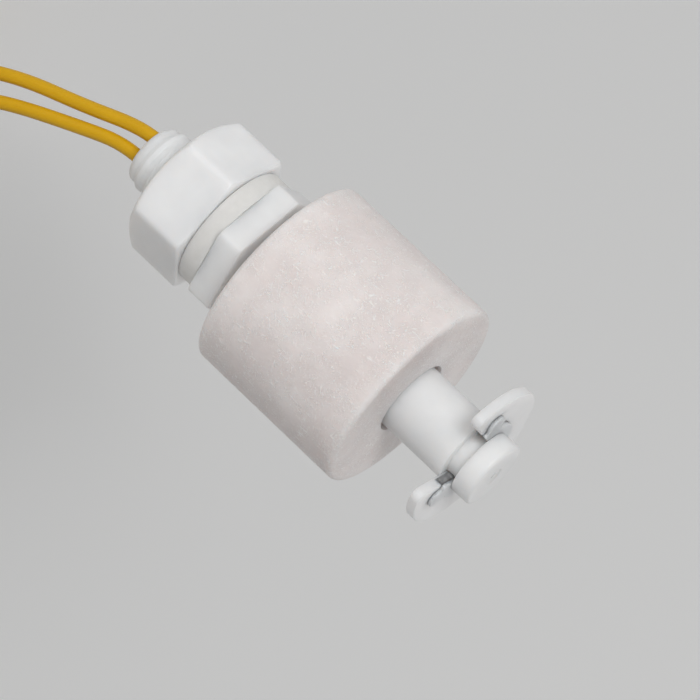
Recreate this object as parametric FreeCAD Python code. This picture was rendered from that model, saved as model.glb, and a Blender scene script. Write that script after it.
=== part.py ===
# Float level switch with a vertical stem: threaded stub below, float and retaining clip above.
# Millimetres. Z runs along the stem towards the clip. The origin is on the stem's axis,
# in the plane of the hex flange that seals against the tank wall.
import FreeCAD, Part
import math
import os

Vector = FreeCAD.Vector
axisZ = Vector(0, 0, 1)

# Hex flange and float seat of the stem moulding
flangeAcrossFlats = 15.55
flangeThickness = 3.3
flangeChamfer = 0.15
seatDiameter = 10.4
seatHeight = 1.95

# Threaded stub
threadDiameter = 9.5
threadPitch = 1.5
threadLength = 11.55
leadInDiameter = 8.2
leadInLength = 1.4
leadInTaper = 0.55
pilotDiameter = 7.5
pilotLength = 1.5
pilotTaper = 0.3
pilotRounding = 0.9

# Stem above the flange
stemDiameter = 8.4
stemHeadHeight = 2.5
stemTipRounding = 0.45
boreDiameter = 5.2
boreRoof = 2.05

# Retaining clip and its groove
grooveDiameter = 6.0
clipDiameter = 18.9
clipThickness = 1.25
clipHubDiameter = 10.8
clipHubHeight = 0.45
clipGap = 0.05
clipThroat = 5.5
clipMouth = 10.0
clipMouthRounding = 0.9
clipLobeDiameter = 2.5
clipLobeRadius = 6.1
clipLobeAngle = 30.0
clipTurn = 9.0
clipEdgeRounding = 0.3
clipLobeRounding = 0.6

# Lock nut and seal washer
nutAcrossFlats = 16.3
nutThickness = 7.85
nutOuterChamfer = 1.0
nutInnerChamfer = 0.3
nutBoreGap = 0.07
nutCountersink = 0.5
washerThickness = 2.5
washerDiameter = 15.5
washerBoreGap = 0.3
faceGap = 0.05
nutTurns = 3

# Float, its magnet and the cap over the magnet
floatDiameter = 25.0
floatHeight = 21.05
floatRounding = 0.6
floatTravel = 8.55
floatBoreDiameter = 9.4
sleeveWall = 0.7
magnetWall = 2.35
magnetHeight = 5.0
magnetGap = 0.25
capThickness = 1.6
capDiameter = 18.0

# Reed switch
reedX = 0.7
reedBelowFloatTop = 5.9
glassDiameter = 2.2
glassLength = 14.0
glassWall = 0.25
glassSealLength = 1.5
bladeWidth = 1.2
bladeThickness = 0.2
bladeGap = 0.15
bladeOverlap = 1.6
bladeRoot = 0.5
reedLeadDiameter = 0.5
lowerLeadLength = 4.5
upperLeadRise = 2.5
upperLeadBend = 0.8

# Single leads
wireDiameter = 1.65
coreDiameter = 0.6
wireAX = -1.45
wireBX = 1.35
wireAAboveGlass = 1.1
wireBBelowLead = 2.5
coreLength = 2.6
solderDiameter = 1.2
sleeveGap = 0.05
shrinkWall = 0.2
lowerSleeveX = 1.05
lowerSleeveDiameter = 2.85
lowerSleeveLength = 7.3
lowerSleeveCover = 1.0
upperSleeveCover = 1.0
upperSleeveLength = 2.0
pottingDepth = 5.8
pottingRecess = 0.25

# Free length of the leads, put away in two coils, one on the other
coilCentreX = 28.5
coilCentreY = 4.2
coilBottom = -43.5
coilLayers = 2
coilRadius = 8.0
coilTurnsAcross = 3.25
coilPitch = 1.665
leadInReach = 5.8
tailLength = 5.0
tipDiameter = 0.7
tipLength = 4.5
tailAngleA = 90.0
tailAngleB = 45.0
tailOutward = 45.0
tieThickness = 0.4
tieWidth = 2.5
tieGap = 0.05
tieAngle = -20.0

# Heights that follow from the sizes above
threadEnd = -threadLength
leadInTop = threadEnd - leadInTaper
leadInEnd = leadInTop - leadInLength
pilotTop = leadInEnd - pilotTaper
stubEnd = pilotTop - pilotLength
seatTop = flangeThickness + seatHeight
floatBottom = seatTop + faceGap
floatTop = floatBottom + floatHeight
clipLift = floatTop + floatTravel + faceGap
clipTop = clipLift + clipThickness + clipHubHeight
stemTipHeight = clipTop + clipGap + stemHeadHeight
boreTop = clipLift - clipGap - boreRoof
sleeveRadius = floatBoreDiameter / 2 + sleeveWall
magnetInner = sleeveRadius + magnetGap
magnetOuter = magnetInner + magnetWall
washerTop = -faceGap
nutTop = washerTop - washerThickness - faceGap
nutEnd = nutTop - nutThickness
reedCentre = floatTop - reedBelowFloatTop
glassBottom = reedCentre - glassLength / 2
glassTop = reedCentre + glassLength / 2
wireAInnerTop = glassTop + wireAAboveGlass
wireBInnerTop = glassBottom - lowerLeadLength - wireBBelowLead
lowerSleeveStart = wireBInnerTop - lowerSleeveCover
upperSleeveStart = wireAInnerTop - upperSleeveCover
coilHeight = coilLayers * wireDiameter
coilOuter = coilRadius + coilTurnsAcross * coilPitch / 2
coilInner = coilRadius - coilTurnsAcross * coilPitch / 2
coilBottomB = coilBottom + coilHeight
coilTopB = coilBottomB + coilHeight
surface = coilBottom - tieThickness

# Routes of the leads from the stub to their coils, as control points
routeA = [
    (wireAX, 0.0, stubEnd),
    (wireAX, 0.0, -17.6),
    (1.35, -0.4, -24.75),
    (3.7, -0.9, -32.0),
    (6.8, -1.1, -37.7),
    (14.0, -1.5, -40.6),
    (18.8, -3.4, -41.25),
]
routeB = [
    (wireBX, 0.0, stubEnd),
    (wireBX, 0.0, -18.2),
    (3.4, -0.5, -23.4),
    (6.5, -1.0, -30.6),
    (8.8, -1.3, -34.5),
    (14.0, -1.5, -37.6),
    (18.8, -3.4, -38.2),
]


def save(shape, node):
    """Write one closed solid as the node's file."""
    solids = shape.Solids
    if len(solids) != 1 or not shape.isValid():
        raise ValueError(f"{node}: {len(solids)} solids, valid {shape.isValid()}")
    solids[0].exportStep(f"parts/{node}.step")


def turned(points):
    """Solid of revolution about Z from a closed outline of (radius, height) points."""
    corners = [Vector(r, 0, z) for r, z in points]
    outline = Part.makePolygon(corners + corners[:1])
    return Part.Face(outline).revolve(Vector(0, 0, 0), axisZ, 360)


def tube(outer, inner, low, high, x=0.0):
    """Straight tube along Z between two heights, from its outer and inner diameter."""
    base = Vector(x, 0, low)
    wall = Part.makeCylinder(outer / 2, high - low, base, axisZ)
    return wall.cut(Part.makeCylinder(inner / 2, high - low, base, axisZ))


def rod(diameter, low, high, x=0.0):
    """Round rod along Z between two heights."""
    return Part.makeCylinder(diameter / 2, high - low, Vector(x, 0, low), axisZ)


def hexPrism(acrossFlats, low, high, cornerAngle):
    """Hexagonal prism along Z whose first corner is at the given angle in degrees."""
    radius = acrossFlats / math.sqrt(3)
    turns = [math.radians(cornerAngle + 60 * i) for i in range(6)]
    corners = [Vector(radius * math.cos(a), radius * math.sin(a), low) for a in turns]
    face = Part.Face(Part.makePolygon(corners + corners[:1]))
    return face.extrude(Vector(0, 0, high - low))


def chamferedHex(acrossFlats, low, high, cornerAngle, lowChamfer, highChamfer):
    """Hexagonal prism whose corners are turned off at 30 degrees at both ends."""
    corner = acrossFlats / math.sqrt(3)
    slope = math.tan(math.radians(60))
    limit = turned([
        (0, low), (corner - lowChamfer * slope, low), (corner, low + lowChamfer),
        (corner, high - highChamfer), (corner - highChamfer * slope, high), (0, high),
    ])
    return hexPrism(acrossFlats, low, high, cornerAngle).common(limit)


def circlesAt(shape, radius, height):
    """Round edges of a shape that have this radius and lie at this height."""
    found = []
    for edge in shape.Edges:
        curve = edge.Curve
        if isinstance(curve, Part.Circle) and abs(curve.Radius - radius) < 0.01:
            if abs(curve.Center.z - height) < 0.01:
                found.append(edge)
    return found


def rounded(shape, size, places):
    """Round the circular edges at the given (radius, height) places."""
    edges = [e for r, z in places for e in circlesAt(shape, r, z)]
    return shape.makeFillet(size, edges)


def stemBody():
    """The one moulding: pilot, thread, hex flange, float seat, stem and clip groove."""
    pilot, leadIn, thread = pilotDiameter / 2, leadInDiameter / 2, threadDiameter / 2
    stub = turned([
        (0, stubEnd), (pilot, stubEnd), (pilot, pilotTop), (leadIn, leadInEnd),
        (leadIn, leadInTop), (thread, threadEnd), (thread, flangeThickness / 2),
        (0, flangeThickness / 2),
    ])
    stub = rounded(stub, pilotRounding, [(pilot, stubEnd)])
    flange = chamferedHex(flangeAcrossFlats, 0, flangeThickness, -90, flangeChamfer, 0)
    seat = rod(seatDiameter, flangeThickness / 2, seatTop)
    stem = rod(stemDiameter, flangeThickness / 2, stemTipHeight)
    stem = rounded(stem, stemTipRounding, [(stemDiameter / 2, stemTipHeight)])
    body = stub.fuse([flange, seat, stem]).removeSplitter()
    groove = tube(stemDiameter + 1, grooveDiameter, clipLift - clipGap, clipTop + clipGap)
    bore = rod(boreDiameter, stubEnd, boreTop)
    return body.cut(groove).cut(bore)


def lockNut():
    """Hex nut with a flat towards -Y, a deep outer chamfer and countersunk bore."""
    bore = threadDiameter / 2 + nutBoreGap
    body = chamferedHex(nutAcrossFlats, nutEnd, nutTop, 0, nutOuterChamfer, nutInnerChamfer)
    wide = bore + nutCountersink
    hole = turned([
        (0, nutEnd), (wide, nutEnd), (bore, nutEnd + nutCountersink),
        (bore, nutTop - nutCountersink), (wide, nutTop), (0, nutTop),
    ])
    return body.cut(hole)


def sealWasher():
    return tube(washerDiameter, threadDiameter + 2 * washerBoreGap,
                washerTop - washerThickness, washerTop)


def floatShell():
    """Foamed float with an open magnet pocket on the flange side."""
    radius, bore = floatDiameter / 2, floatBoreDiameter / 2
    inner = sleeveRadius
    pocketOuter = magnetOuter + magnetGap
    ledge = floatBottom + capThickness
    pocketRoof = ledge + magnetHeight + 2 * magnetGap
    shell = turned([
        (bore, floatBottom), (inner, floatBottom), (inner, pocketRoof),
        (pocketOuter, pocketRoof), (pocketOuter, ledge), (capDiameter / 2, ledge),
        (capDiameter / 2, floatBottom), (radius, floatBottom), (radius, floatTop), (bore, floatTop),
    ])
    return rounded(shell, floatRounding, [(radius, floatBottom), (radius, floatTop)])


def floatCap():
    return tube(capDiameter, 2 * sleeveRadius, floatBottom, floatBottom + capThickness)


def floatMagnet():
    bottom = floatBottom + capThickness + magnetGap
    return tube(2 * magnetOuter, 2 * magnetInner, bottom, bottom + magnetHeight)


def clipOpening(low, high):
    """Flared way in from the rim to the throat, widest at the rim."""
    seat = grooveDiameter / 2 + clipGap
    throat, mouth, rim = clipThroat / 2, clipMouth / 2, clipDiameter / 2
    throatY = -math.sqrt(seat**2 - throat**2)
    mouthY = -math.sqrt(rim**2 - mouth**2)
    flare = (mouth - throat) / (throatY - mouthY)
    beyond = rim + 1
    wide = throat + flare * (throatY + beyond)
    corners = [Vector(x, y, low) for x, y in
               [(-throat, throatY), (-wide, -beyond), (wide, -beyond), (throat, throatY)]]
    wedge = Part.Face(Part.makePolygon(corners + corners[:1])).extrude(Vector(0, 0, high - low))
    return wedge.fuse(rod(2 * seat, low, high))


def uprightEdges(shape, radius):
    """Straight edges along Z at least this far from the axis."""
    return [e for e in shape.Edges
            if abs(e.tangentAt(e.FirstParameter).z) > 0.99
            and math.hypot(e.CenterOfMass.x, e.CenterOfMass.y) > radius]


def clipHub():
    """Raised part of the clip: a low boss with two rounded lobes beside the mouth."""
    low = clipLift + clipThickness / 2
    hub = rod(clipHubDiameter, low, clipTop)
    hub = rounded(hub, clipEdgeRounding, [(clipHubDiameter / 2, clipTop)])
    for turn in (-clipLobeAngle, clipLobeAngle - 180):
        lobe = rounded(rod(clipLobeDiameter, low, clipTop), clipLobeRounding,
                       [(clipLobeDiameter / 2, clipTop)])
        lobe.translate(Vector(clipLobeRadius, 0, 0))
        lobe.rotate(Vector(0, 0, 0), axisZ, turn)
        hub = hub.fuse(lobe)
    return hub.removeSplitter().cut(clipOpening(clipLift, clipTop))


def retainingClip():
    """Push-on C clip: a plate with a raised hub."""
    hubLow = clipLift + clipThickness
    plate = rod(clipDiameter, clipLift, hubLow)
    plate = plate.cut(clipOpening(clipLift, hubLow))
    plate = plate.makeFillet(clipMouthRounding, uprightEdges(plate, clipDiameter / 2 - 0.1))
    clip = plate.fuse(clipHub()).removeSplitter()
    clip.rotate(Vector(0, 0, 0), axisZ, clipTurn)
    return clip


def reedLead(low, high):
    return rod(reedLeadDiameter, low, high, reedX)


def blade(low, high, y):
    """Flat contact blade between two heights, on one side of the middle plane."""
    corner = Vector(reedX - bladeWidth / 2, y - bladeThickness / 2, low)
    return Part.makeBox(bladeWidth, bladeThickness, high - low, corner)


def reedBladeLower():
    root = glassBottom + glassSealLength + bladeRoot
    flat = blade(root, reedCentre + bladeOverlap / 2, (bladeGap + bladeThickness) / 2)
    return reedLead(glassBottom - lowerLeadLength, root).fuse(flat).removeSplitter()


def reedBladeUpper():
    """Upper blade whose round lead rises out of the glass and bends over to the other lead."""
    root = glassTop - glassSealLength - bladeRoot
    flat = blade(reedCentre - bladeOverlap / 2, root, -(bladeGap + bladeThickness) / 2)
    riseTop = glassTop + upperLeadRise - upperLeadBend
    centre = Vector(reedX - upperLeadBend, 0, riseTop)
    start = Vector(reedX, 0, riseTop)
    middle = centre + Vector(upperLeadBend * math.sqrt(0.5), 0, upperLeadBend * math.sqrt(0.5))
    end = centre + Vector(0, 0, upperLeadBend)
    path = Part.Wire([
        Part.LineSegment(Vector(reedX, 0, root), start).toShape(),
        Part.Arc(start, middle, end).toShape(),
        Part.LineSegment(end, Vector(wireAX, 0, end.z)).toShape(),
    ])
    return swept(path, reedLeadDiameter).fuse(flat).removeSplitter()


def reedGlass(blades):
    """Sealed glass tube, melted shut around the two round leads."""
    body = rod(glassDiameter, glassBottom, glassTop, reedX)
    body = body.makeFillet(glassDiameter / 5, body.Edges[0:1] + body.Edges[2:3])
    hollow = rod(glassDiameter - 2 * glassWall, glassBottom + glassSealLength,
                 glassTop - glassSealLength, reedX)
    return body.cut(hollow).cut(Part.makeCompound(blades))


def wireInner(x, top):
    """Lead inside the stem, with its bared core at the top."""
    cover = rod(wireDiameter, stubEnd, top, x)
    core = rod(coreDiameter, top, top + coreLength, x)
    return cover.fuse(core).removeSplitter()


def solderUpper(pieces):
    """Bead that joins the bent lead of the upper blade to the first wire's core."""
    bead = Part.makeSphere(solderDiameter / 2, Vector(wireAX, 0, glassTop + upperLeadRise))
    return bead.cut(Part.makeCompound(pieces))


def solderLower(pieces):
    """Bead that joins the lower blade's lead to the second wire's core, side by side."""
    height = glassBottom - lowerLeadLength
    middle = (reedX + wireBX) / 2
    bead = Part.makeCylinder(solderDiameter / 2, solderDiameter, Vector(middle, 0, height), axisZ)
    bead = bead.makeFillet(solderDiameter / 5, bead.Edges[0:1] + bead.Edges[2:3])
    return bead.cut(Part.makeCompound(pieces))


def pottingPlug():
    """Resin that closes the stub's open end around the two leads."""
    low = stubEnd + pottingRecess
    plug = rod(boreDiameter, low, stubEnd + pottingDepth)
    for x in (wireAX, wireBX):
        plug = plug.cut(rod(wireDiameter, stubEnd, stubEnd + pottingDepth, x))
    return plug


def swept(path, diameter):
    """Round bar along a path of straight runs and tangent arcs."""
    start = path.OrderedEdges[0]
    heading = start.tangentAt(start.FirstParameter)
    ring = Part.Wire([Part.makeCircle(diameter / 2, path.OrderedVertexes[0].Point, heading)])
    bar = path.makePipeShell([ring], True, True)
    exact = math.pi * diameter**2 / 4 * path.Length
    if abs(bar.Volume - exact) > 0.01 * exact:
        raise ValueError(f"swept bar holds {bar.Volume:.3f}, not {exact:.3f}")
    return bar


def routedPath(points, name):
    """Straight runs joined by arcs whose reach is 0.45 of the shorter run at each point."""
    places = [Vector(*p) for p in points]
    edges, at, radii = [], places[0], []
    for before, corner, after in zip(places, places[1:], places[2:]):
        inward = (corner - before).normalize()
        outward = (after - corner).normalize()
        reach = 0.45 * min((corner - before).Length, (after - corner).Length)
        half = inward.getAngle(outward) / 2
        radius = reach / math.tan(half)
        radii.append(radius)
        start, end = corner - inward * reach, corner + outward * reach
        towards = (outward - inward).normalize()
        middle = corner + towards * (radius / math.cos(half) - radius)
        edges += [Part.LineSegment(at, start).toShape(), Part.Arc(start, middle, end).toShape()]
        at = end
    edges.append(Part.LineSegment(at, places[-1]).toShape())
    print(name, "radii", [round(r, 1) for r in radii])
    return Part.Wire(edges)


def tailEnds(angle, height):
    """Where a tail leaves its coil, where its cover ends and where its core ends."""
    turn = math.radians(angle)
    away = turn + math.radians(90 - tailOutward)
    start = Vector(coilCentreX + coilOuter * math.cos(turn),
                   coilCentreY + coilOuter * math.sin(turn), height)
    rise = height - surface
    drop = min((rise - wireDiameter / 2) / tailLength,
               (rise - tipDiameter / 2) / (tailLength + tipLength))
    level = math.sqrt(1 - drop**2)
    heading = Vector(level * math.cos(away), level * math.sin(away), -drop)
    return start, start + heading * tailLength, start + heading * (tailLength + tipLength)


def bar(diameter, start, end):
    return Part.makeCylinder(diameter / 2, (end - start).Length, start, end - start)


def wireCoil(low, route, tail):
    """Outer shape of one lead's coil, with its last stretch in and its tail out."""
    margin = wireDiameter / 2
    base = Vector(coilCentreX, coilCentreY, low)
    ring = Part.makeCylinder(coilOuter + margin, coilHeight, base, axisZ)
    ring = ring.cut(Part.makeCylinder(coilInner - margin, coilHeight, base, axisZ))
    before, end = Vector(*route[-2]), Vector(*route[-1])
    leadIn = bar(wireDiameter, end, end + (end - before).normalize() * leadInReach)
    return ring.fuse([leadIn, bar(wireDiameter, *tail[:2])]).removeSplitter()


def coilTie():
    """Flat tie wrapped once round both coils."""
    margin = wireDiameter / 2
    outer = coilOuter + margin + tieGap
    inner = math.sqrt((coilInner - margin)**2 - tieWidth**2 / 4) - tieGap
    top = coilTopB + tieGap
    band = Part.makeBox(outer - inner + 2 * tieThickness, tieWidth,
                        top - coilBottom + 2 * tieThickness,
                        Vector(inner - tieThickness, -tieWidth / 2, surface))
    band = band.cut(Part.makeBox(outer - inner, tieWidth, top - coilBottom,
                                 Vector(inner, -tieWidth / 2, coilBottom)))
    band.rotate(Vector(0, 0, 0), axisZ, tieAngle)
    band.translate(Vector(coilCentreX, coilCentreY, 0))
    return band


def shrinkSleeves():
    """Thin sleeves over the two soldered joints."""
    lower = tube(lowerSleeveDiameter, lowerSleeveDiameter - 2 * shrinkWall,
                 lowerSleeveStart, lowerSleeveStart + lowerSleeveLength, lowerSleeveX)
    inner = wireDiameter + 2 * sleeveGap
    upper = tube(inner + 2 * shrinkWall, inner, upperSleeveStart,
                 upperSleeveStart + upperSleeveLength, wireAX)
    return lower, upper


def buildSwitch():
    """Reed switch, its joints and the leads inside the stem."""
    lower, upper = reedBladeLower(), reedBladeUpper()
    innerA, innerB = wireInner(wireAX, wireAInnerTop), wireInner(wireBX, wireBInnerTop)
    beadA = solderUpper([upper, innerA])
    save(lower, "reed_blade_lower")
    save(upper.cut(innerA), "reed_blade_upper")
    save(reedGlass([lower, upper]), "reed_glass")
    save(innerA, "wire_a_inner")
    save(innerB, "wire_b_inner")
    save(beadA, "solder_joint_upper")
    save(solderLower([lower, innerB]), "solder_joint_lower")
    sleeveLower, sleeveUpper = shrinkSleeves()
    save(sleeveLower, "shrink_sleeve_lower")
    save(sleeveUpper, "shrink_sleeve_upper")
    save(pottingPlug(), "potting_plug")


def buildLeads():
    """Free leads: the run to the coil, the coil, the bared end and the tie."""
    radius = wireDiameter / 2
    leads = [("a", routeA, coilBottom, tailEnds(tailAngleA, coilBottom + radius)),
             ("b", routeB, coilBottomB, tailEnds(tailAngleB, coilTopB - radius))]
    for name, route, low, tail in leads:
        path = routedPath(route, f"wire_{name}")
        save(swept(path, wireDiameter), f"wire_{name}_run")
        save(wireCoil(low, route, tail), f"wire_{name}_coil")
        save(bar(tipDiameter, *tail[1:]), f"wire_{name}_tip")
    save(coilTie(), "coil_tie")


def buildHousing():
    """Moulding, nut, washer, float and clip."""
    save(stemBody(), "stem_body")
    save(lockNut(), "lock_nut")
    save(sealWasher(), "seal_washer")
    save(floatShell(), "float_shell")
    save(floatCap(), "float_cap")
    save(floatMagnet(), "float_magnet")
    save(retainingClip(), "retaining_clip")


os.makedirs("parts", exist_ok=True)
buildHousing()
buildSwitch()
buildLeads()
print("float travel", floatTravel)
print("nut travel", nutTurns * threadPitch)
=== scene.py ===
# Float level switch: its looks, floor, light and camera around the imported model, in metres
import math

import bmesh
import bpy
import numpy as np
from mathutils import Matrix, Vector


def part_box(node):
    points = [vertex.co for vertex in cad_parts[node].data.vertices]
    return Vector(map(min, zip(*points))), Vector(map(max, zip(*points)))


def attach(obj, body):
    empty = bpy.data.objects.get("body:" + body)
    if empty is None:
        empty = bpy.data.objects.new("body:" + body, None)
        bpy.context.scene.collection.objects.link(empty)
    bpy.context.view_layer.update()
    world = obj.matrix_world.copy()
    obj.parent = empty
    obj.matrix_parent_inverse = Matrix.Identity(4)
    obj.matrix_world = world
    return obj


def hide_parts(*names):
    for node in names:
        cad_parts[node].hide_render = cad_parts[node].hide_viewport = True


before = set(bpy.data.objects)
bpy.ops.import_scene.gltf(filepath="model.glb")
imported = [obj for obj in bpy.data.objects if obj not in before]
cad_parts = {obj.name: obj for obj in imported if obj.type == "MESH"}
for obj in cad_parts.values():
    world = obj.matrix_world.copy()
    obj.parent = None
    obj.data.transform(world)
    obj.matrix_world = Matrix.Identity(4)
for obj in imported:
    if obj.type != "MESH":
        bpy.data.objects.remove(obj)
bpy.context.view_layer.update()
mm = 0.001
tau = 2 * math.pi
pi = math.pi

# Corners of the nodes, read from the frame, in millimetres
def boxOf(node):
    return np.array(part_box(node)) / mm


stemBox = boxOf("stem_body")
nutBox = boxOf("lock_nut")
washerBox = boxOf("seal_washer")
shellBox = boxOf("float_shell")
capBox = boxOf("float_cap")
clipBox = boxOf("retaining_clip")
tieBox = boxOf("coil_tie")
stubEnd = stemBox[0][2]
surface = tieBox[0][2] * mm
print("frame read, stub end at", round(stubEnd, 2), "mm")

# Camera
view = {
    "azimuth": -8.0,
    "elevation": 15.0,
    "stemTilt": 43.4,           # degrees that the stem points below the picture's horizontal
    "distance": 0.45,
    "middle": (0.00078, 0.0, 0.0175),
    "pictureWidth": 0.07735,    # at the object
}


def makeCamera():
    a, e = math.radians(view["azimuth"]), math.radians(view["elevation"])
    tilt = math.radians(view["stemTilt"])
    back = np.array((math.sin(a) * math.cos(e), -math.cos(a) * math.cos(e), math.sin(e)))
    along = np.array((-math.sin(a) * math.sin(e), math.cos(a) * math.sin(e), math.cos(e)))
    across = np.cross(along, back)
    right = math.cos(tilt) * along - math.sin(tilt) * across
    up = -math.sin(tilt) * along - math.cos(tilt) * across
    camera = bpy.data.objects.new("camera", bpy.data.cameras.new("camera"))
    camera.data.angle = 2 * math.atan(view["pictureWidth"] / 2 / view["distance"])
    camera.data.clip_start = 0.01
    place = np.eye(4)
    place[:3, :3] = np.stack([right, up, back], axis=1)
    place[:3, 3] = np.array(view["middle"]) + back * view["distance"]
    camera.matrix_world = Matrix(place.tolist())
    bpy.context.collection.objects.link(camera)
    bpy.context.scene.camera = camera


makeCamera()
print("camera placed")

# The two leads, in metres: routes from the stub, then the turns of their coils
leads = {
    "diameter": 0.00165,
    "length": 0.37,
    "coilCentre": (0.0285, 0.0042),
    "coilOuter": 0.0107,
    "coilInner": 0.0053,
    "fullTurns": 6,
    "pointsPerTurn": 16,
    "climbRate": 12,            # the change of layer takes one part in so many of the coil
    "entryAngle": -108.0,
    "layers": {"A": (-0.04102, -0.04267), "B": (-0.03937, -0.03772)},
    "exitAngle": {"A": 90.0, "B": 45.0},
    "coverEnd": {"A": (0.02498, 0.01843, -0.04307), "B": (0.03607, 0.01572, -0.04079)},
    "tipEnd": {"A": (0.02180, 0.02160, -0.04343), "B": (0.03607, 0.01927, -0.04355)},
}
routes = {
    "A": [(-0.00145, 0.0, -0.0153), (-0.00145, 0.0, -0.0176), (0.00135, -0.0004, -0.02475),
          (0.0037, -0.0009, -0.0320), (0.0068, -0.0011, -0.0377), (0.0140, -0.0015, -0.0406),
          (0.0188, -0.0034, -0.04125)],
    "B": [(0.00135, 0.0, -0.0153), (0.00135, 0.0, -0.0182), (0.0034, -0.0005, -0.0234),
          (0.0065, -0.0010, -0.0306), (0.0088, -0.0013, -0.0345), (0.0140, -0.0015, -0.0376),
          (0.0188, -0.0034, -0.0382)],
}


def coilTurns(which):
    # in on one layer and out on the other: r goes outer, inner, outer as the angle runs on evenly
    start, end = math.radians(leads["entryAngle"]), math.radians(leads["exitAngle"][which])
    turning = leads["fullTurns"] * tau + (end - start) % tau
    s = np.linspace(0, 1, int(turning / tau * leads["pointsPerTurn"]))
    angle = start + s * turning
    spread = leads["coilOuter"] - leads["coilInner"]
    radius = leads["coilOuter"] - spread * (1 - np.abs(2 * s - 1))
    radius = radius / math.cos(pi / leads["pointsPerTurn"])
    first, second = leads["layers"][which]
    climb = np.clip((s - 0.5) * leads["climbRate"] + 0.5, 0, 1)
    height = first + (second - first) * climb * climb * (3 - 2 * climb)
    x, y = leads["coilCentre"]
    return np.stack([x + radius * np.cos(angle), y + radius * np.sin(angle), height], axis=1)


def makeLead(which):
    points = np.vstack([routes[which], coilTurns(which), [leads["coverEnd"][which]]])
    curve = bpy.data.curves.new("lead" + which, "CURVE")
    curve.dimensions = "3D"
    spline = curve.splines.new("NURBS")
    spline.points.add(len(points) - 1)
    spline.points.foreach_set("co", np.column_stack([points, np.ones(len(points))]).ravel())
    spline.order_u = 3
    spline.use_endpoint_u = True
    curve.resolution_u = 6
    curve.bevel_depth = leads["diameter"] / 2
    curve.bevel_resolution = 5
    curve.use_fill_caps = True
    lead = bpy.data.objects.new("lead" + which, curve)
    bpy.context.collection.objects.link(lead)
    return lead


leadA = makeLead("A")
leadB = makeLead("B")
print("leads laid")


# Meshes from arrays
meshing = {"weld": 1e-8, "sharpAngle": 38}


def makeMesh(name, points, faces, scale=mm):
    mesh = bpy.data.meshes.new(name)
    mesh.from_pydata((np.asarray(points) * scale).tolist(), [], faces)
    whole = bmesh.new()
    whole.from_mesh(mesh)
    bmesh.ops.remove_doubles(whole, verts=whole.verts, dist=meshing["weld"])
    bmesh.ops.recalc_face_normals(whole, faces=whole.faces)
    whole.to_mesh(mesh)
    whole.free()
    mesh.shade_smooth()
    mesh.set_sharp_from_angle(angle=math.radians(meshing["sharpAngle"]))
    piece = bpy.data.objects.new(name, mesh)
    bpy.context.collection.objects.link(piece)
    return piece


def gridFaces(rows, columns, closeRows, first=0):
    # quads of a grid whose columns close on themselves
    i = np.arange(rows if closeRows else rows - 1)[:, None]
    j = np.arange(columns)[None, :]
    below, beyond = (i + 1) % rows, (j + 1) % columns
    quads = np.stack([i * columns + j, i * columns + beyond,
                      below * columns + beyond, below * columns + j], axis=-1)
    return (quads.reshape(-1, 4) + first).tolist()


def wheel(angles, radii, heights):
    # points (r cos a, r sin a, z) of a grid, from its radii and heights
    x = radii * np.cos(angles)
    y = radii * np.sin(angles)
    return np.stack([x, y, heights + 0 * x], axis=-1).reshape(-1, 3)


def softProfile(corners, steps=5, margin=0.08):
    # outline of (r, z, rounding) corners: each corner is an arc tangent to both its sides,
    # and a long straight side gets one more point near each end, so that it shades flat
    corners = np.array(corners, float)
    places, rounding = corners[:, :2], corners[:, 2]
    rows = [places[:1]]
    for before, at, after, size in zip(places, places[1:], places[2:], rounding[1:]):
        if size == 0:
            rows.append(at[None])
            continue
        inward = (before - at) / np.linalg.norm(before - at)
        outward = (after - at) / np.linalg.norm(after - at)
        half = math.acos(np.clip(inward @ outward, -1, 1)) / 2
        middle = (inward + outward) / np.linalg.norm(inward + outward)
        centre = at + middle * size / math.sin(half)
        sweep = np.linspace(-1, 1, steps + 1)[:, None] * (pi / 2 - half)
        side = inward - middle * (inward @ middle)
        side = side / np.linalg.norm(side)
        rows.append(centre - size * (middle * np.cos(sweep) + side * np.sin(sweep)))
    rows.append(places[-1:])
    line = np.vstack(rows)
    gap = np.linalg.norm(np.diff(line, axis=0), axis=1)
    long = np.flatnonzero(gap > 4 * margin)
    unit = (line[long + 1] - line[long]) / gap[long, None]
    near, far = line[long] + unit * margin, line[long + 1] - unit * margin
    order = np.concatenate([np.arange(len(line)), long + 0.3, long + 0.6])
    return np.vstack([line, near, far])[np.argsort(order)]


def makeTurned(name, corners, columns=240):
    # surface of revolution about the stem's axis, closed on itself
    line = softProfile(corners)
    angles = np.linspace(0, tau, columns, endpoint=False)[None, :]
    points = wheel(angles, line[:, :1], line[:, 1:])
    return makeMesh(name, points, gridFaces(len(line), columns, True))


# The thread: right-handed, its crest rises with the angle
thread = {
    "pitch": 1.5,
    "crest": 4.75,
    "root": 4.05,
    "rootFlat": 0.22,       # share of the pitch on each side of the root that stays at the root
    "crestFlat": 0.20,
    "fadeLow": -12.3,       # the first crest grows out of the land here
    "fadeHigh": -11.3,
    "rowsPerPitch": 14,
    "nutPlay": 0.09,
}


def threadHeight(angles, z):
    # 0 at the root, 1 at the crest, with flanks between, from the phase z / pitch - a / turn
    phase = (z / thread["pitch"] - angles / tau) % 1
    away = np.abs(2 * phase - 1)
    rise = (away - thread["rootFlat"]) / (1 - thread["rootFlat"] - thread["crestFlat"])
    rise = np.clip(rise, 0, 1)
    return rise * rise * (3 - 2 * rise)


def threadRadius(angles, z):
    fade = np.clip((z - thread["fadeLow"]) / (thread["fadeHigh"] - thread["fadeLow"]), 0, 1)
    return thread["root"] + (thread["crest"] - thread["root"]) * threadHeight(angles, z) * fade


# Hexagons
hexagon = {
    "crowding": 1.7,            # how much closer the columns stand towards the corners
    "cornerSharpness": 48,
    "coneSharpness": 90,
    "endInset": 1.5,            # reach of the flat ends inwards from the wall
    "wallRows": 34,
    "coneAngle": 60,
}


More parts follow.
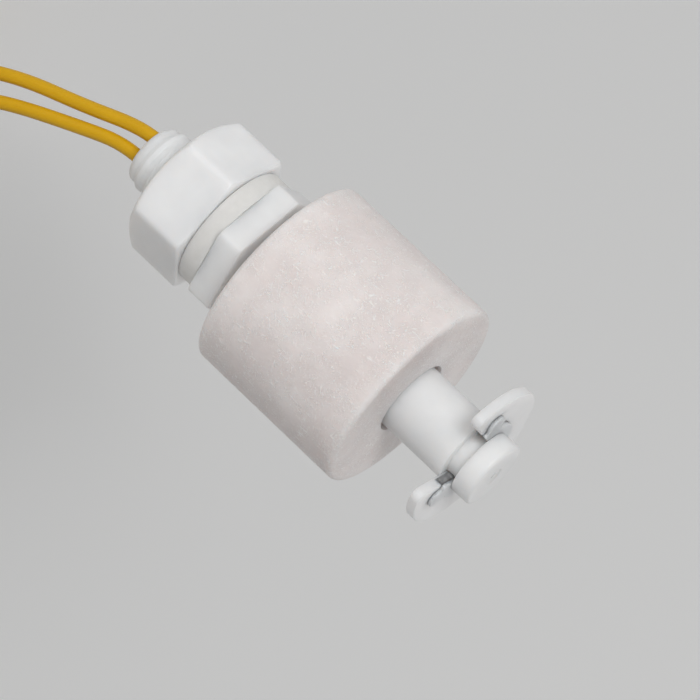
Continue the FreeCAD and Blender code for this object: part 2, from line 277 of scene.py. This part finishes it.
def hexColumns(cornerAngle, perSide):
    # column angles, closer together towards the corners of a hexagon
    t = np.linspace(-1, 1, perSide, endpoint=False)
    side = np.sign(t) * (1 - (1 - np.abs(t)) ** hexagon["crowding"]) * pi / 6
    starts = math.radians(cornerAngle + 30) + np.arange(6) * pi / 3
    return (starts[:, None] + side[None, :]).reshape(1, -1)


def hexRadius(angles, acrossFlats, cornerAngle):
    # the six sides as one soft minimum, which rounds the corners
    sharpness = hexagon["cornerSharpness"]
    flats = math.radians(cornerAngle + 30) + np.arange(6) * pi / 3
    reach = np.clip(np.cos(angles[..., None] - flats), 0, None) ** sharpness
    return acrossFlats / 2 * reach.sum(-1) ** (-1 / sharpness)


def softLess(a, b):
    # soft minimum of two radii
    sharpness = hexagon["coneSharpness"]
    return (a ** -sharpness + b ** -sharpness) ** (-1 / sharpness)


def hexWall(angles, size, low, high, cornerAngle, lowChamfer, highChamfer, rounding):
    # rows up the outside of a hexagonal prism between two ends: the flats and the two cones
    # that turn off its corners, with rounded rims; returns radii and heights
    inset = -hexagon["endInset"]
    line = softProfile([(inset, low, 0), (0, low, rounding), (0, high, rounding),
                        (inset, high, 0)])
    between = np.linspace(low, high, hexagon["wallRows"])[1:-1]
    line = np.vstack([line, [[0, z] for z in between if low + rounding < z < high - rounding]])
    line = line[np.lexsort((np.where(line[:, 1] > (low + high) / 2, -1, 1) * line[:, 0],
                            line[:, 1]))]
    offset, z = line[:, :1], line[:, 1:]
    corner = size / math.sqrt(3)
    slope = math.tan(math.radians(hexagon["coneAngle"]))
    lowCone = corner + (z - low - lowChamfer) * slope
    highCone = corner + (high - highChamfer - z) * slope
    cone = np.minimum(lowCone, highCone)
    radii = softLess(hexRadius(angles, size, cornerAngle), cone)
    return radii + offset, z + 0 * radii


moulding = {
    "perSide": 40,
    "boreRadius": 2.6,
    "boreTop": 32.85,
    "pilotRadius": 3.75,
    "pilotRounding": 0.9,
    "pilotTop": -13.95,
    "landFoot": (4.1, -13.45),
    "landTop": (4.08, -13.0),
    "threadFrom": -12.95,
    "threadTo": -0.32,
    "reliefFoot": (0.2, -0.25),
    "reliefEdge": 0.25,
    "hiddenRadius": 6.0,        # inside the flange, where its flat ends begin
    "flangeFlats": 15.55,
    "flangeTop": 3.3,
    "flangeCorner": -90,
    "flangeChamfer": 0.15,
    "flangeRim": 0.2,
    "seatRadius": 5.2,
    "seatTop": 5.25,
    "stemRadius": 4.2,
    "neckRadius": 3.0,
    "neck": (34.90, 36.70),
    "tipRounding": 0.42,
    "gateRadius": 0.9,
    "gateDepth": 0.16,
    "gateStub": 0.05,
}


def makeMoulding():
    # one skin from the bore, round the stub's end, up the thread, flange and stem to the tip
    m = moulding
    angles = hexColumns(m["flangeCorner"], m["perSide"])
    ones = np.ones_like(angles)
    pilot, bore, stem = m["pilotRadius"], m["boreRadius"], m["stemRadius"]
    low = softProfile([
        (0, m["boreTop"], 0), (bore, m["boreTop"], 0), (bore, stubEnd, 0.25),
        (pilot, stubEnd, m["pilotRounding"]), (pilot, m["pilotTop"], 0.3),
        m["landFoot"] + (0.3,), m["landTop"] + (0,)])
    span = m["threadTo"] - m["threadFrom"]
    rows = int(span / thread["pitch"] * thread["rowsPerPitch"])
    turns = np.linspace(m["threadFrom"], m["threadTo"], rows)[:, None]
    neckLow, neckHigh = m["neck"]
    flange = hexWall(angles, m["flangeFlats"], 0, m["flangeTop"], m["flangeCorner"],
                     m["flangeChamfer"], -0.6, m["flangeRim"])
    foot, footHeight = m["reliefFoot"]
    relief = softProfile([(thread["root"] + foot, footHeight, 0),
                          (thread["root"] + m["reliefEdge"], 0, 0.1),
                          (m["hiddenRadius"], 0, 0)])
    tip = stemBox[1][2]
    gate, gateFloor, gateTop = m["gateRadius"], tip - m["gateDepth"], tip - m["gateStub"]
    high = softProfile([
        (m["hiddenRadius"], m["flangeTop"], 0), (m["seatRadius"], m["flangeTop"], 0.25),
        (m["seatRadius"], m["seatTop"], 0.2), (stem, m["seatTop"], 0.2), (stem, neckLow, 0.08),
        (m["neckRadius"], neckLow, 0.15), (m["neckRadius"], neckHigh, 0.15),
        (stem, neckHigh, 0.12), (stem, tip, m["tipRounding"]), (gate + 0.25, tip, 0.08),
        (gate, gateFloor, 0.1), (0.4, gateFloor, 0.08), (0.3, gateTop, 0.06), (0, gateTop, 0)])
    radii = np.vstack([low[:, :1] * ones, threadRadius(angles, turns), relief[:, :1] * ones,
                       flange[0], high[:, :1] * ones])
    heights = np.vstack([low[:, 1:] * ones, turns * ones, relief[:, 1:] * ones,
                         flange[1], high[:, 1:] * ones])
    points = wheel(angles, radii, heights)
    return makeMesh("moulding", points, gridFaces(len(radii), angles.size, False))


nut = {
    "perSide": 40,
    "flats": 16.3,
    "corner": 0,
    "outerChamfer": 1.0,
    "innerChamfer": 0.3,
    "rim": 0.28,
    "countersink": 0.5,
}


def makeNut():
    # a ring of rows: up the outside, in over one end, down the threaded bore, out over the other
    n = nut
    low, high = nutBox[0][2], nutBox[1][2]
    angles = hexColumns(n["corner"], n["perSide"])
    outside = hexWall(angles, n["flats"], low, high, n["corner"],
                      n["outerChamfer"], n["innerChamfer"], n["rim"])
    rows = int((high - low) / thread["pitch"] * thread["rowsPerPitch"])
    z = np.linspace(high, low, rows)[:, None]
    depth = thread["crest"] - thread["root"]
    bore = thread["root"] + depth * threadHeight(angles, z) + thread["nutPlay"]
    end = np.minimum(z - low, high - z)
    mouth = thread["crest"] + thread["nutPlay"] + n["countersink"] - end
    radii = np.vstack([outside[0], np.maximum(bore, mouth)])
    heights = np.vstack([outside[1], z + 0 * angles])
    points = wheel(angles, radii, heights)
    return makeMesh("hexNut", points, gridFaces(len(radii), angles.size, True))


washer = {
    "bore": 5.05,
    "boreRounding": 0.2,
    "rimRounding": 0.15,
}


def makeWasher():
    low, high = washerBox[0][2], washerBox[1][2]
    bore, outer = washer["bore"], washerBox[1][0]
    inside, outside = washer["boreRounding"], washer["rimRounding"]
    return makeTurned("sealRing", [
        (bore, (low + high) / 2, 0), (bore, low, inside), (outer, low, outside),
        (outer, high, outside), (bore, high, inside)])


body = {
    "radius": 12.5,
    "bore": 4.7,
    "lowMouth": 0.18,
    "highMouth": 0.35,
    "sleeve": 5.4,
    "rim": 0.6,
    "pocketRadius": 8.25,
    "pocketRoof": 12.4,
    "capRadius": 9.0,
    "capSeam": 0.012,
    "capEdge": 0.025,
    "capSink": 0.01,
    "innerEdge": 0.1,
    "columns": 256,
}


def makeFloat():
    # shell with its magnet pocket open towards the flange, and the ring that closes the pocket
    b = body
    low, high = shellBox[0][2], shellBox[1][2]
    ledge, roof, edge, inner = capBox[1][2], b["pocketRoof"], b["capEdge"], b["innerEdge"]
    shell = makeTurned("floatBody", [
        (b["bore"], (low + high) / 2, 0), (b["bore"], low, b["lowMouth"]),
        (b["sleeve"], low, edge), (b["sleeve"], roof, inner), (b["pocketRadius"], roof, inner),
        (b["pocketRadius"], ledge, inner), (b["capRadius"], ledge, inner),
        (b["capRadius"], low, edge), (b["radius"], low, b["rim"]),
        (b["radius"], high, b["rim"]), (b["bore"], high, b["highMouth"])], b["columns"])
    near, far = b["sleeve"] + b["capSeam"], b["capRadius"] - b["capSeam"]
    face = low + b["capSink"]
    cap = makeTurned("floatEnd", [
        (near, (low + ledge) / 2, 0), (near, face, edge), (far, face, edge),
        (far, ledge, inner), (near, ledge, inner)], b["columns"])
    return shell, cap


# The push-on clip, drawn flat about its own axis with the mouth towards -Y
clip = {
    "rim": 9.45,
    "seat": 3.05,
    "hub": 5.4,
    "throat": 2.75,
    "mouth": 5.0,
    "mouthRounding": 0.9,
    "throatRounding": 0.28,
    "hubRounding": 0.2,
    "lobe": 1.25,
    "lobeReach": 6.1,
    "lobeAngle": -30.0,
    "lobeFillet": 0.2,
    "plateTop": 36.2,
    "turn": 9.0,
    "edge": 0.16,
    "plateEdge": 0.16,
    "topEdge": 0.13,
    "hubFoot": 0.3,
    "hubFootEdge": 0.05,
}


def arc(centre, start, end, turn, step=6.0):
    # points on the circle about centre from start to end, turning +1 counterclockwise or -1,
    # about step degrees apart
    centre, start, end = np.array(centre, float), np.array(start, float), np.array(end, float)
    first = math.atan2(*(start - centre)[::-1])
    last = math.atan2(*(end - centre)[::-1])
    span = ((last - first) * turn) % tau
    angles = first + turn * np.linspace(0, span, max(4, int(math.degrees(span) / step)))
    radius = np.linalg.norm(start - centre)
    return centre + radius * np.stack([np.cos(angles), np.sin(angles)], axis=1)


def touching(reachA, centreB, reachB, side):
    # the point at reachA from the axis and reachB from centreB, on one side of their line
    far = np.linalg.norm(centreB)
    along = (far**2 + reachA**2 - reachB**2) / (2 * far)
    off = math.sqrt(reachA**2 - along**2)
    unit = centreB / far
    return along * unit + side * off * np.array([-unit[1], unit[0]])


def clipOutline(rim, corner, lobed):
    # one side of the mouth from the seat out to the rim, its mirror image, and the arcs between
    c = clip
    throatY = -math.sqrt(c["seat"] ** 2 - c["throat"] ** 2)
    mouthY = -math.sqrt(c["rim"] ** 2 - c["mouth"] ** 2)
    tip = np.array([c["throat"], throatY])
    way = np.array([c["mouth"] - c["throat"], mouthY - throatY])
    way = way / np.linalg.norm(way)
    inside = np.array([-way[1], way[0]])

    def onFlare(offset, reach):
        # centre of a circle that touches the flare, at a distance from the axis
        base = tip + inside * offset
        t = -base @ way + math.sqrt((base @ way) ** 2 - base @ base + reach**2)
        return base + way * t

    small = c["throatRounding"]
    jaw = onFlare(small, c["seat"] + small)
    edge = onFlare(corner, rim - corner)
    parts = [arc(jaw, jaw * c["seat"] / np.linalg.norm(jaw), jaw - inside * small, 1),
             arc(edge, edge - inside * corner, edge * rim / np.linalg.norm(edge), 1)]
    if lobed:
        turn = math.radians(c["lobeAngle"])
        lobe = c["lobeReach"] * np.array([math.cos(turn), math.sin(turn)])
        fillet = c["lobeFillet"]
        low = touching(rim + fillet, lobe, c["lobe"] + fillet, -1)
        high = touching(rim + fillet, lobe, c["lobe"] + fillet, 1)
        ends = [(p, p * rim / np.linalg.norm(p),
                 p + (lobe - p) * fillet / (fillet + c["lobe"])) for p in (low, high)]
        parts += [arc((0, 0), parts[-1][-1], ends[0][1], 1),
                  arc(low, ends[0][1], ends[0][2], -1, step=15.0),
                  arc(lobe, ends[0][2], ends[1][2], 1, step=12.0),
                  arc(high, ends[1][2], ends[1][1], -1, step=15.0)]
    right = np.vstack(parts)
    left = right[::-1] * [-1, 1]
    outer = arc((0, 0), right[-1], left[0], 1, step=2.5)[1:-1]
    seat = arc((0, 0), left[-1], right[0], -1, step=5.0)[1:-1]
    line = np.vstack([right, outer, left, seat])
    keep = np.linalg.norm(line - np.roll(line, 1, axis=0), axis=1) > 0.01
    return line[keep]


def roundedPlate(outline, low, high, lowEdge, highEdge, steps=5, flat=1.35):
    # rings of the outline, drawn in along its normals over the two rounded rims, then flat caps;
    # one more ring on each cap, at flat times the rim's rounding, keeps its shading flat
    ahead = np.roll(outline, -1, axis=0) - outline
    ahead = ahead / np.linalg.norm(ahead, axis=1)[:, None]
    heading = ahead + np.roll(ahead, 1, axis=0)
    heading = heading / np.linalg.norm(heading, axis=1)[:, None]
    inward = np.stack([-heading[:, 1], heading[:, 0]], axis=1)
    t = np.linspace(0, pi / 2, steps + 1)
    inset = np.concatenate([[lowEdge * flat], lowEdge * (1 - np.sin(t)),
                            highEdge * (1 - np.cos(t)), [highEdge * flat]])
    height = np.concatenate([[low], low + lowEdge * (1 - np.cos(t)),
                             high - highEdge * (1 - np.sin(t)), [high]])
    rings = outline[None] + inward[None] * inset[:, None, None]
    z = np.broadcast_to(height[:, None, None], rings.shape[:2] + (1,))
    points = np.concatenate([rings, z], axis=2).reshape(-1, 3)
    count = len(outline)
    faces = gridFaces(len(inset), count, False)
    caps = [list(range(count))[::-1], list(range(len(points) - count, len(points)))]
    return points, faces + caps


def makeClip():
    c = clip
    low, high = clipBox[0][2], clipBox[1][2]
    plate = roundedPlate(clipOutline(c["rim"], c["mouthRounding"], False),
                         low, c["plateTop"], c["edge"], c["plateEdge"])
    hub = roundedPlate(clipOutline(c["hub"], c["hubRounding"], True),
                       low + c["hubFoot"], high, c["hubFootEdge"], c["topEdge"])
    points = np.vstack([plate[0], hub[0]])
    faces = plate[1] + [[i + len(plate[0]) for i in face] for face in hub[1]]
    turn = math.radians(c["turn"])
    x, y = points[:, 0].copy(), points[:, 1].copy()
    points[:, 0] = x * math.cos(turn) - y * math.sin(turn)
    points[:, 1] = x * math.sin(turn) + y * math.cos(turn)
    return makeMesh("pushClip", points, faces)


# Bared ends: seven strands, six of them laid round the first
strands = {
    "radius": 0.00010,
    "lay": 0.00021,
    "twist": 1.1,               # turns over the bared length
    "insideCover": 0.0004,
    "uneven": 0.012,            # share of the length by which a strand is shorter than the next
    "rows": 26,
    "sides": 10,
}


def makeTip(which):
    start = np.array(leads["coverEnd"][which])
    end = np.array(leads["tipEnd"][which])
    axis = (end - start) / np.linalg.norm(end - start)
    start = start - axis * strands["insideCover"]
    side = np.cross(axis, (0, 0, 1))
    side = side / np.linalg.norm(side)
    other = np.cross(axis, side)
    t = np.linspace(0, 1, strands["rows"])[:, None]
    around = np.linspace(0, tau, strands["sides"], endpoint=False)[None, :]
    points, faces = [], []
    for k in range(7):
        lay = strands["lay"] if k else 0
        turn = t * strands["twist"] * tau + k * tau / 6
        u = lay * np.cos(turn) + strands["radius"] * np.cos(around)
        v = lay * np.sin(turn) + strands["radius"] * np.sin(around)
        share = 1 - strands["uneven"] * (k % 3)
        along = t * np.linalg.norm(end - start) * share + 0 * around
        grid = start + along[..., None] * axis + u[..., None] * side + v[..., None] * other
        first = sum(len(p) for p in points)
        count = strands["sides"]
        points.append(grid.reshape(-1, 3))
        faces += gridFaces(strands["rows"], count, False, first)
        last = first + (strands["rows"] - 1) * count
        faces += [list(range(first, first + count)), list(range(last, last + count))]
    return makeMesh("tip" + which, np.vstack(points), faces, scale=1)


tie = {
    "centre": (28.5, 4.2),
    "angle": -20.0,
    "inner": 4.24,
    "outer": 11.58,
    "low": -43.5,
    "high": -36.85,
    "thickness": 0.4,
    "width": 2.5,
    "corner": 0.75,
    "edge": 0.12,
}


def makeTie():
    # a flat strip carried round a rounded rectangle in the plane of the coil's axis
    b = tie
    half = b["thickness"] / 2
    box = [(b["inner"] - half, b["low"] - half), (b["outer"] + half, b["low"] - half),
           (b["outer"] + half, b["high"] + half), (b["inner"] - half, b["high"] + half)]
    middle = ((box[0][0] + box[1][0]) / 2, box[0][1])
    line = softProfile([middle + (0,)] + [p + (b["corner"],) for p in box[1:] + box[:1]]
                       + [middle + (0,)], steps=8)[:-1]
    ahead = np.roll(line, -1, axis=0) - np.roll(line, 1, axis=0)
    ahead = ahead / np.linalg.norm(ahead, axis=1)[:, None]
    out = np.stack([ahead[:, 1], -ahead[:, 0]], axis=1)
    reach, edge = b["width"] / 2, b["edge"]
    section = softProfile([(0, -half, 0), (reach, -half, edge), (reach, half, edge),
                           (-reach, half, edge), (-reach, -half, edge), (0, -half, 0)],
                          steps=3)[:-1]
    wide, thick = section[:, 0], section[:, 1]
    radial = line[:, :1] + out[:, :1] * thick
    z = line[:, 1:] + out[:, 1:] * thick
    turn = math.radians(b["angle"])
    x = b["centre"][0] + radial * math.cos(turn) - wide * math.sin(turn)
    y = b["centre"][1] + radial * math.sin(turn) + wide * math.cos(turn)
    points = np.stack([x, y, z], axis=-1).reshape(-1, 3)
    return makeMesh("bandTie", points, gridFaces(len(line), len(section), True))


mouldingPiece = makeMoulding()
nutPiece = makeNut()
washerPiece = makeWasher()
floatPiece, capPiece = makeFloat()
clipPiece = makeClip()
tipA, tipB = makeTip("A"), makeTip("B")
tiePiece = makeTie()
print("pieces made")


# Shader maths: a wrapped socket takes + - * / and its Math nodes are added
class Flow:
    def __init__(self, finish, socket):
        self.finish, self.socket = finish, socket

    def math(self, operation, other, swapped=False):
        pair = (other, self) if swapped else (self, other)
        made = self.finish.node("ShaderNodeMath", {"operation": operation},
                                {0: pair[0], 1: pair[1]})
        return Flow(self.finish, made.outputs[0])

    def __add__(self, other):
        return self.math("ADD", other)

    def __sub__(self, other):
        return self.math("SUBTRACT", other)

    def __mul__(self, other):
        return self.math("MULTIPLY", other)

    def __truediv__(self, other):
        return self.math("DIVIDE", other)

    def __radd__(self, other):
        return self.math("ADD", other, True)

    def __rsub__(self, other):
        return self.math("SUBTRACT", other, True)

    def __rmul__(self, other):
        return self.math("MULTIPLY", other, True)

    def most(self, other):
        return self.math("MAXIMUM", other)

    def between(self, low, high):
        # 0 below low, 1 above high, smooth between
        made = self.finish.node("ShaderNodeMapRange", {"interpolation_type": "SMOOTHSTEP"},
                                {"Value": self, "From Min": low, "From Max": high})
        return Flow(self.finish, made.outputs["Result"])


class Finish:
    def __init__(self, name, sockets):
        self.material = bpy.data.materials.new(name)
        self.material.use_nodes = True
        self.tree = self.material.node_tree
        self.shader = self.tree.nodes["Principled BSDF"]
        self.fill(self.shader, sockets)
        self.place = self.node("ShaderNodeTexCoord", {}, {}).outputs["Object"]

    def fill(self, node, sockets):
        for key, value in sockets.items():
            if isinstance(value, Flow):
                value = value.socket
            if isinstance(value, bpy.types.NodeSocket):
                self.tree.links.new(value, node.inputs[key])
            else:
                node.inputs[key].default_value = value

    def node(self, kind, settings, sockets):
        made = self.tree.nodes.new(kind)
        for key, value in settings.items():
            setattr(made, key, value)
        self.fill(made, sockets)
        return made

    def turned(self, stretch, angles):
        # places turned first and then shrunk along one axis, so that marks lie along it
        made = self.node("ShaderNodeMapping", {"vector_type": "TEXTURE"}, {
            "Vector": self.place, "Scale": stretch,
            "Rotation": [math.radians(a) for a in angles]})
        return made.outputs["Vector"]

    def noise(self, scale, detail=3.0, roughness=0.5, vector=None):
        made = self.node("ShaderNodeTexNoise", {}, {
            "Vector": vector or self.place, "Scale": scale, "Detail": detail,
            "Roughness": roughness})
        return Flow(self, made.outputs["Fac"])

    def cells(self, scale):
        made = self.node("ShaderNodeTexVoronoi", {}, {"Vector": self.place, "Scale": scale})
        return Flow(self, made.outputs["Distance"])

    def blend(self, factor, low, high):
        made = self.node("ShaderNodeMix", {"data_type": "RGBA"}, {0: factor, 6: low, 7: high})
        return made.outputs[2]

    def bump(self, height, distance):
        made = self.node("ShaderNodeBump", {}, {
            "Height": height, "Distance": distance, "Strength": 1.0})
        self.fill(self.shader, {"Normal": made.outputs["Normal"]})


def plasticFinish(name, color, shade, spots):
    # translucent moulded plastic: light soaks in, faint flow clouds, a softly uneven gloss
    finish = Finish(name, {
        "Subsurface Weight": 1.0, "Subsurface Radius": (1.0, 0.93, 0.88),
        "Subsurface Scale": 0.0032, "IOR": 1.49, "Specular IOR Level": 0.45})
    clouds = finish.noise(170, 3, 0.55).between(0.3, 0.75)
    fine = finish.noise(2600, 2)
    finish.fill(finish.shader, {
        "Base Color": finish.blend(clouds, shade, color),
        "Roughness": 0.36 + clouds * 0.08 + fine * 0.06})
    finish.bump(finish.noise(420, 2) * 0.6 + fine * spots, 0.00004)
    return finish.material


def foamFinish(name, share):
    # frosted foam: warm clouds, a fine grain and short glossy raised hairs that lie every way,
    # each way a stretched noise of its own; share is how much their patches are whitened as a
    # painted glint
    finish = Finish(name, {
        "Subsurface Weight": 0.85, "Subsurface Radius": (1.0, 0.88, 0.82),
        "Subsurface Scale": 0.0028, "IOR": 1.47, "Specular IOR Level": 0.5})
    clouds = finish.noise(120, 4, 0.65).between(0.30, 0.72)
    grain = finish.noise(1300, 3, 0.6)
    hairs = 0.0
    ways = [(0, 0, 0), (62, 0, 0), (-48, 0, 40), (58, 0, 95), (90, 0, 20), (75, 0, 140)]
    for n, angles in enumerate(ways):
        turned = finish.turned((1.0, 1.0, 4.0), angles)
        streak = finish.noise(3100 + 280 * n, 1, 0.4, turned).between(0.63, 0.76)
        hairs = streak.most(hairs)
    patches = finish.noise(340, 2).between(0.32, 0.56)
    hairsAndPaintedGlint = hairs * patches
    pits = finish.cells(900).between(0.1, 0.42)
    base = finish.blend(clouds, (0.77, 0.705, 0.69, 1), (0.87, 0.815, 0.80, 1))
    # painted glint: where the hairs lie in patches the base colour is whitened by share; the
    # lower roughness and the bump there are the hairs' real gloss and relief
    finish.fill(finish.shader, {
        "Base Color": finish.blend(hairsAndPaintedGlint * share, base, (1.0, 0.98, 0.965, 1)),
        "Roughness": 0.56 - hairsAndPaintedGlint * 0.26 + grain * 0.1})
    finish.bump(grain * 0.9 + hairsAndPaintedGlint * 1.2 + pits * 0.35, 0.00007)
    return finish.material


def rubberFinish():
    # soft milky rubber with a fine even grain
    finish = Finish("milkyRubber", {
        "Subsurface Weight": 0.6, "Subsurface Radius": (1.0, 0.95, 0.9),
        "Subsurface Scale": 0.0015})
    grain = finish.noise(1100, 3)
    finish.fill(finish.shader, {
        "Base Color": finish.blend(grain, (0.70, 0.69, 0.665, 1), (0.80, 0.79, 0.77, 1)),
        "Roughness": 0.52 + grain * 0.12})
    finish.bump(grain, 0.00003)
    return finish.material


def coverFinish():
    # yellow lead cover: satin PVC, faint waviness along it
    finish = Finish("yellowCover", {
        "Subsurface Weight": 0.1, "Subsurface Radius": (1.0, 0.6, 0.1),
        "Subsurface Scale": 0.0004, "Specular IOR Level": 0.3})
    waves = finish.noise(330, 2)
    fine = finish.noise(3000, 2)
    finish.fill(finish.shader, {
        "Base Color": finish.blend(waves, (0.59, 0.325, 0.001, 1), (0.69, 0.395, 0.002, 1)),
        "Roughness": 0.34 + fine * 0.1})
    finish.bump(waves * 1.2 + fine * 0.2, 0.00006)
    return finish.material


def metalFinish(name, color, roughness, scratch):
    # bare metal, a little darker and duller where marks lie
    finish = Finish(name, {"Metallic": 1.0})
    marks = finish.noise(1800, 3, 0.6)
    finish.fill(finish.shader, {
        "Base Color": finish.blend(marks, [c * 0.82 for c in color[:3]] + [1], color),
        "Roughness": roughness + marks * scratch})
    finish.bump(marks, 0.00001)
    return finish.material


def plainFinish(name, color, low, high, scale, depth, **sockets):
    # one colour with a grain in its gloss and surface
    finish = Finish(name, {key.replace("_", " "): value for key, value in sockets.items()})
    grain = finish.noise(scale, 3, 0.55)
    dark = [c * 0.9 for c in color[:3]] + [1]
    finish.fill(finish.shader, {
        "Base Color": finish.blend(grain, dark, color),
        "Roughness": low + grain * (high - low)})
    finish.bump(grain, depth)
    return finish.material


stemPlastic = plasticFinish("stemPlastic", (0.87, 0.87, 0.865, 1), (0.80, 0.80, 0.80, 1), 0.10)
nutPlastic = plasticFinish("nutPlastic", (0.885, 0.885, 0.885, 1), (0.83, 0.83, 0.835, 1), 0.12)
clipPlastic = plasticFinish("clipPlastic", (0.87, 0.87, 0.87, 1), (0.80, 0.80, 0.805, 1), 0.10)
# the second number is each foam's share of painted glint whitened into its colour
foam = foamFinish("frostedFoam", 0.65)
cap = foamFinish("weldedCap", 0.25)
rubber = rubberFinish()
cover = coverFinish()
tinned = metalFinish("tinnedCopper", (0.72, 0.71, 0.68, 1), 0.28, 0.2)
contact = metalFinish("contactMetal", (0.62, 0.60, 0.56, 1), 0.3, 0.15)
solder = metalFinish("brightSolder", (0.66, 0.66, 0.65, 1), 0.2, 0.15)
ferrite = plainFinish("ferrite", (0.045, 0.045, 0.05, 1), 0.5, 0.75, 900, 0.00004)
sleeve = plainFinish("shrinkTube", (0.02, 0.02, 0.02, 1), 0.4, 0.6, 700, 0.00002)
strip = plainFinish("blackStrip", (0.022, 0.022, 0.024, 1), 0.42, 0.62, 1300, 0.00003)
resin = plainFinish("milkyResin", (0.74, 0.71, 0.62, 1), 0.14, 0.3, 350, 0.00005,
                    Subsurface_Weight=0.4, Subsurface_Scale=0.001)
glass = Finish("reedGlass", {"Base Color": (0.78, 0.9, 0.82, 1), "Roughness": 0.03,
                             "Transmission Weight": 1.0, "IOR": 1.5}).material
print("finishes mixed")


def dress(piece, material):
    piece.data.materials.clear()
    piece.data.materials.append(material)


def standsFor(piece, node, material, carrier):
    dress(piece, material)
    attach(piece, carrier)
    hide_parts(node)


standsFor(mouldingPiece, "stem_body", stemPlastic, "stem")
standsFor(clipPiece, "retaining_clip", clipPlastic, "stem")
standsFor(nutPiece, "lock_nut", nutPlastic, "nut")
standsFor(washerPiece, "seal_washer", rubber, "washer")
standsFor(floatPiece, "float_shell", foam, "float")
standsFor(capPiece, "float_cap", cap, "float")
standsFor(tipA, "wire_a_tip", tinned, "stem")
standsFor(tipB, "wire_b_tip", tinned, "stem")
standsFor(tiePiece, "coil_tie", strip, "stem")
for lead, letter in ((leadA, "a"), (leadB, "b")):
    dress(lead, cover)
    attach(lead, "stem")
    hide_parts(f"wire_{letter}_run", f"wire_{letter}_coil")

kept = {
    "float_magnet": ferrite, "reed_glass": glass, "reed_blade_lower": contact,
    "reed_blade_upper": contact, "solder_joint_lower": solder, "solder_joint_upper": solder,
    "shrink_sleeve_lower": sleeve, "shrink_sleeve_upper": sleeve, "wire_a_inner": cover,
    "wire_b_inner": cover, "potting_plug": resin,
}
for node, material in kept.items():
    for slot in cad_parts[node].material_slots:
        slot.material = material

print("pieces dressed")

# Floor, backdrop and lamps
stage = {
    "floorReach": 6.0,
    "floorColor": (0.93, 0.93, 0.925, 1),
    "backdrop": (0.57, 0.57, 0.565, 1),
    "skyLight": 0.22,
    "lamps": [
        # the way to it, its spread in degrees, its share of full light
        ((-0.48, -0.80, 0.36), 28, 0.59),
        ((0.80, -0.45, 0.30), 50, 0.06),
        ((0.10, 0.80, 0.55), 50, 0.14),
    ],
}


def makeFloor():
    reach = stage["floorReach"]
    corners = [(-reach, -reach, surface), (reach, -reach, surface),
               (reach, reach, surface), (-reach, reach, surface)]
    mesh = bpy.data.meshes.new("floor")
    mesh.from_pydata(corners, [], [(0, 1, 2, 3)])
    floor = bpy.data.objects.new("floor", mesh)
    bpy.context.collection.objects.link(floor)
    finish = Finish("floorPaint", {"Base Color": stage["floorColor"], "Roughness": 0.6})
    dress(floor, finish.material)


def makeBackdrop():
    # the sky lights the object; what is seen of it, straight or in a gloss, is the pale backdrop
    world = bpy.data.worlds.new("studio")
    bpy.context.scene.world = world
    world.use_nodes = True
    tree = world.node_tree
    sky = tree.nodes["Background"]
    sky.inputs["Color"].default_value = (1, 1, 1, 1)
    sky.inputs["Strength"].default_value = stage["skyLight"]
    seen = tree.nodes.new("ShaderNodeBackground")
    seen.inputs["Color"].default_value = stage["backdrop"]
    rays = tree.nodes.new("ShaderNodeLightPath")
    mix = tree.nodes.new("ShaderNodeMixShader")
    total = rays.outputs["Is Camera Ray"]
    for name in ("Is Glossy Ray", "Is Transmission Ray"):
        most = tree.nodes.new("ShaderNodeMath")
        most.operation = "MAXIMUM"
        tree.links.new(total, most.inputs[0])
        tree.links.new(rays.outputs[name], most.inputs[1])
        total = most.outputs[0]
    tree.links.new(total, mix.inputs[0])
    tree.links.new(sky.outputs[0], mix.inputs[1])
    tree.links.new(seen.outputs[0], mix.inputs[2])
    tree.links.new(mix.outputs[0], tree.nodes["World Output"].inputs["Surface"])


def makeLamp(number, origin, spread, share):
    # a wide soft sun: at share 1 a white surface that faces it renders white
    data = bpy.data.lights.new(f"lamp{number}", "SUN")
    data.angle = math.radians(spread)
    data.energy = share * pi
    lamp = bpy.data.objects.new(f"lamp{number}", data)
    lamp.matrix_world = Vector(origin).to_track_quat("Z", "Y").to_matrix().to_4x4()
    bpy.context.collection.objects.link(lamp)


makeFloor()
makeBackdrop()
for number, lamp in enumerate(stage["lamps"]):
    makeLamp(number, *lamp)
bpy.context.scene.view_settings.view_transform = "Standard"
print("stage lit")
